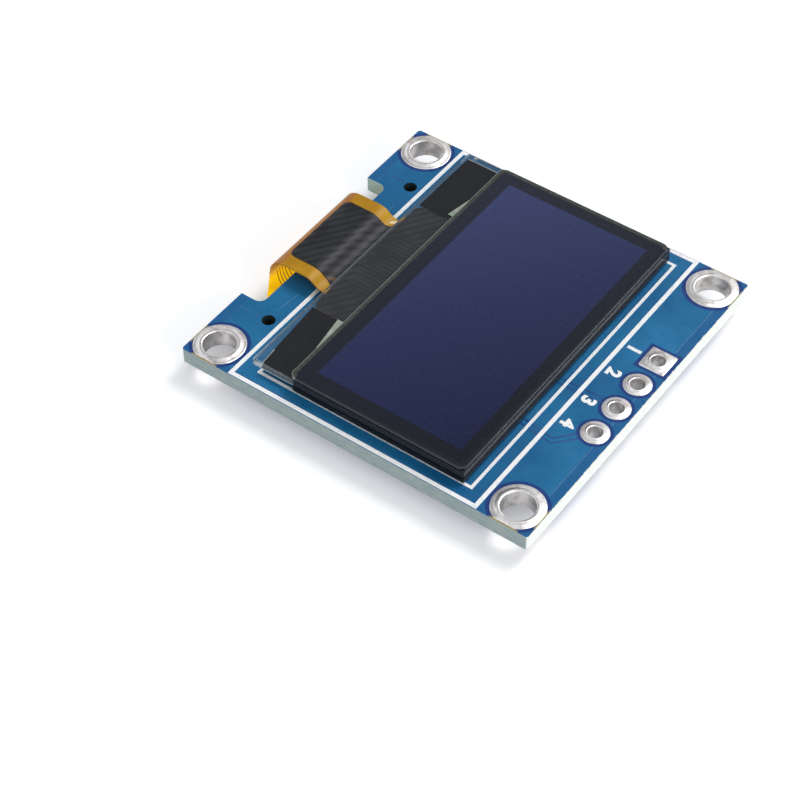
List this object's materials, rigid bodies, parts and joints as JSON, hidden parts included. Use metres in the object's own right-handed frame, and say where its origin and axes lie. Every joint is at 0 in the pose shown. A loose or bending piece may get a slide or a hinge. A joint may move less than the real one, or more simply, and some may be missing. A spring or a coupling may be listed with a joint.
{
  "type": "small oled module",
  "caption": "Small square display module: a monochrome glass panel taped to a blue circuit board, with a flex circuit folded to its back and corner mounting holes.",
  "frame": {"origin": "on the surface the module lies on, under the middle of the circuit board", "axes": "+Z out of the display's face, +Y towards the edge with the header holes, +X to the right of the upright display"},
  "size_m": [0.0268, 0.0274, 0.0038],
  "materials": {
    "board": "satin solder mask",
    "print": "matt ink",
    "tin": "tinned, slightly uneven",
    "tape": "matt foam",
    "glass": "polished, ground edges",
    "seal": "cured sealant",
    "emitter": "dark, glossy",
    "polarizer": "glossy film",
    "shield": "black film",
    "bead": "cured sealant",
    "flex": "amber polyimide",
    "coverlay": "black film, satin",
    "silicon": "polished silicon",
    "solder": "solder",
    "ceramic": "fired ceramic",
    "alumina": "coated alumina",
    "mould": "moulded epoxy"
  },
  "bodies": {
    "root": {"active_layer": "emitter", "address_resistor": "alumina", "address_resistor_ends": "tin", "adhesive_tape": "tape", "cap_glass": "glass", "capacitor_1": "ceramic", "capacitor_1_ends": "tin", "capacitor_2": "ceramic", "capacitor_2_ends": "tin", "circuit_board": "board", "diode_body": "mould", "diode_leads": "tin", "driver_chip": "silicon", "flex_circuit": "flex", "flex_coverlay": "coverlay", "flex_solder_joints": "solder", "header_pad_1": "tin", "header_pad_2": "tin", "header_pad_3": "tin", "header_pad_4": "tin", "ledge_shield_left": "shield", "ledge_shield_right": "shield", "middle_resistor_1": "alumina", "middle_resistor_1_ends": "tin", "middle_resistor_2": "alumina", "middle_resistor_2_ends": "tin", "mounting_ring_1": "tin", "mounting_ring_2": "tin", "mounting_ring_3": "tin", "mounting_ring_4": "tin", "polarizer": "polarizer", "printed_frames": "print", "regulator_body": "mould", "regulator_leads": "tin", "reservoir_capacitor_1": "ceramic", "reservoir_capacitor_1_ends": "tin", "reservoir_capacitor_2": "ceramic", "reservoir_capacitor_2_ends": "tin", "resistor_1": "alumina", "resistor_1_ends": "tin", "resistor_2": "alumina", "resistor_2_ends": "tin", "seal_frame": "seal", "sealant_bead_left": "bead", "sealant_bead_right": "bead", "solder_fillets": "solder", "solder_pads": "solder", "substrate_glass": "glass", "upper_capacitor_1": "ceramic", "upper_capacitor_1_ends": "tin", "upper_capacitor_2": "ceramic", "upper_capacitor_2_ends": "tin"}
  },
  "joints": []
}
